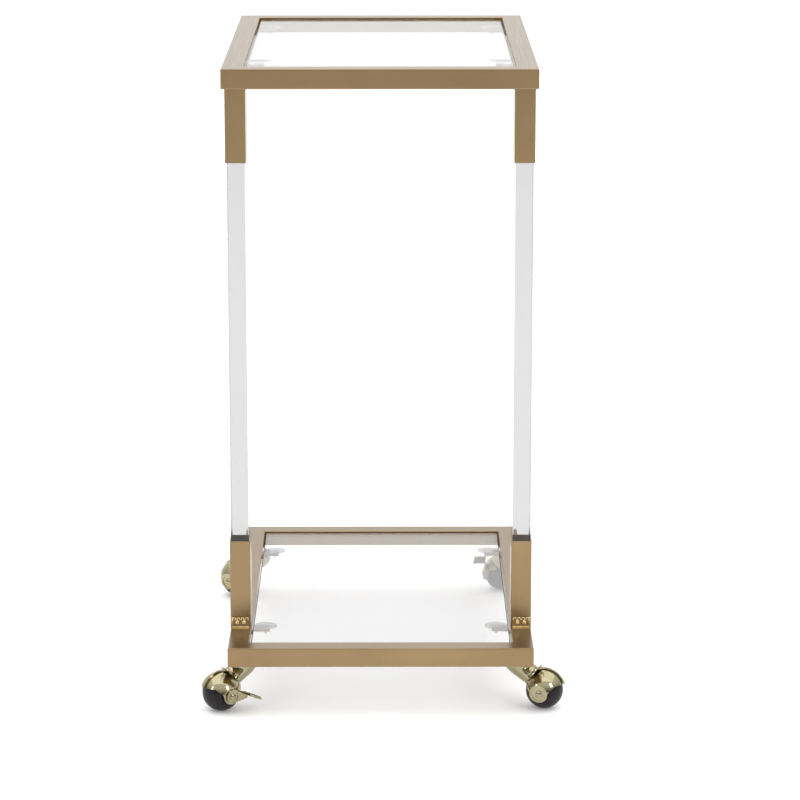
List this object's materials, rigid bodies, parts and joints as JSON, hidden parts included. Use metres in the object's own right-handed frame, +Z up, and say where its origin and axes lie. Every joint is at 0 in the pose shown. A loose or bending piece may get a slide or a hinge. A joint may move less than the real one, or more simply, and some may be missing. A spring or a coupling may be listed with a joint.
{
  "type": "bar cart",
  "caption": "Bar cart with glass shelves in square tube frames, acrylic posts in metal sleeves at one end, and hooded swivel ball casters with brake pedals.",
  "frame": {"origin": "on the floor, at the middle of the cart's footprint with its casters at rest", "axes": "+Z up; +X across the cart to the right seen from the end with the posts; +Y along the cart from that end to the open end"},
  "size_m": [0.4888, 0.6197, 0.866],
  "materials": {
    "satin_brass": "satin, lightly brushed lacquered brass finish",
    "polished_brass": "polished brass plate",
    "glass": "clear polished plate",
    "clear_acrylic": "clear polished acrylic",
    "clear_silicone": "clear soft vinyl",
    "black_rubber": "dark matt",
    "hub_nylon": "moulded",
    "zinc_steel": "zinc plated"
  },
  "bodies": {
    "frame": {"top_rail_front": "satin_brass", "top_rail_right": "satin_brass", "top_rail_back": "satin_brass", "top_rail_left": "satin_brass", "top_glass": "glass", "top_glass_pads": "clear_silicone", "top_pad_tabs": "satin_brass", "bottom_rail_front": "satin_brass", "bottom_rail_right": "satin_brass", "bottom_rail_back": "satin_brass", "bottom_rail_left": "satin_brass", "bottom_glass": "glass", "bottom_glass_pads": "clear_silicone", "bottom_pad_tabs": "satin_brass", "post_left": "clear_acrylic", "lower_sleeve_left": "satin_brass", "upper_sleeve_left": "satin_brass", "post_right": "clear_acrylic", "lower_sleeve_right": "satin_brass", "upper_sleeve_right": "satin_brass", "post_screws": "polished_brass", "foot_cleats": "polished_brass", "cleat_screws": "polished_brass", "weld_nuts": "zinc_steel", "swivel_bearing_balls": "zinc_steel", "caster_stem_fl": "zinc_steel", "caster_cup_fl": "polished_brass", "caster_stem_fr": "zinc_steel", "caster_cup_fr": "polished_brass", "caster_stem_rl": "zinc_steel", "caster_cup_rl": "polished_brass", "caster_stem_rr": "zinc_steel", "caster_cup_rr": "polished_brass"},
    "swivel_fl": {"caster_hood_fl": "polished_brass", "wheel_axle_fl": "polished_brass"},
    "wheel_fl": {"wheel_tread_fl": "black_rubber", "wheel_core_fl": "hub_nylon", "wheel_bush_fl": "zinc_steel"},
    "brake_fl": {"brake_lever_fl": "polished_brass"},
    "swivel_fr": {"caster_hood_fr": "polished_brass", "wheel_axle_fr": "polished_brass"},
    "wheel_fr": {"wheel_tread_fr": "black_rubber", "wheel_core_fr": "hub_nylon", "wheel_bush_fr": "zinc_steel"},
    "swivel_rl": {"caster_hood_rl": "polished_brass", "wheel_axle_rl": "polished_brass"},
    "wheel_rl": {"wheel_tread_rl": "black_rubber", "wheel_core_rl": "hub_nylon", "wheel_bush_rl": "zinc_steel"},
    "swivel_rr": {"caster_hood_rr": "polished_brass", "wheel_axle_rr": "polished_brass"},
    "wheel_rr": {"wheel_tread_rr": "black_rubber", "wheel_core_rr": "hub_nylon", "wheel_bush_rr": "zinc_steel"},
    "brake_rr": {"brake_lever_rr": "polished_brass"}
  },
  "joints": [
    {"name": "swivel_turn_fl", "type": "hinge", "parent": "frame", "child": "swivel_fl", "pos_m": [-0.1871, -0.2529, 0.066], "axis": [0, 0, 1], "continuous": true},
    {"name": "wheel_roll_fl", "type": "hinge", "parent": "swivel_fl", "child": "wheel_fl", "pos_m": [-0.21663, -0.27681, 0.025], "axis": [-0.6293, 0.7771, 0], "continuous": true},
    {"name": "brake_pedal_fl", "type": "hinge", "parent": "swivel_fl", "child": "brake_fl", "pos_m": [-0.21663, -0.27681, 0.025], "axis": [0.6293, -0.7771, 0], "range_deg": [0, 70]},
    {"name": "swivel_turn_fr", "type": "hinge", "parent": "frame", "child": "swivel_fr", "pos_m": [0.1819, -0.2529, 0.066], "axis": [0, 0, 1], "continuous": true},
    {"name": "wheel_roll_fr", "type": "hinge", "parent": "swivel_fr", "child": "wheel_fr", "pos_m": [0.21713, -0.26714, 0.025], "axis": [-0.3746, -0.9272, 0], "continuous": true},
    {"name": "swivel_turn_rl", "type": "hinge", "parent": "frame", "child": "swivel_rl", "pos_m": [-0.1871, 0.2431, 0.066], "axis": [0, 0, 1], "continuous": true},
    {"name": "wheel_roll_rl", "type": "hinge", "parent": "swivel_rl", "child": "wheel_rl", "pos_m": [-0.21784, 0.26544, 0.025], "axis": [0.5878, 0.809, 0], "continuous": true},
    {"name": "swivel_turn_rr", "type": "hinge", "parent": "frame", "child": "swivel_rr", "pos_m": [0.1819, 0.2431, 0.066], "axis": [0, 0, 1], "continuous": true},
    {"name": "wheel_roll_rr", "type": "hinge", "parent": "swivel_rr", "child": "wheel_rr", "pos_m": [0.17793, 0.28089, 0.025], "axis": [0.9945, 0.1045, 0], "continuous": true},
    {"name": "brake_pedal_rr", "type": "hinge", "parent": "swivel_rr", "child": "brake_rr", "pos_m": [0.17793, 0.28089, 0.025], "axis": [-0.9945, -0.1045, 0], "range_deg": [-70, 0]}
  ]
}
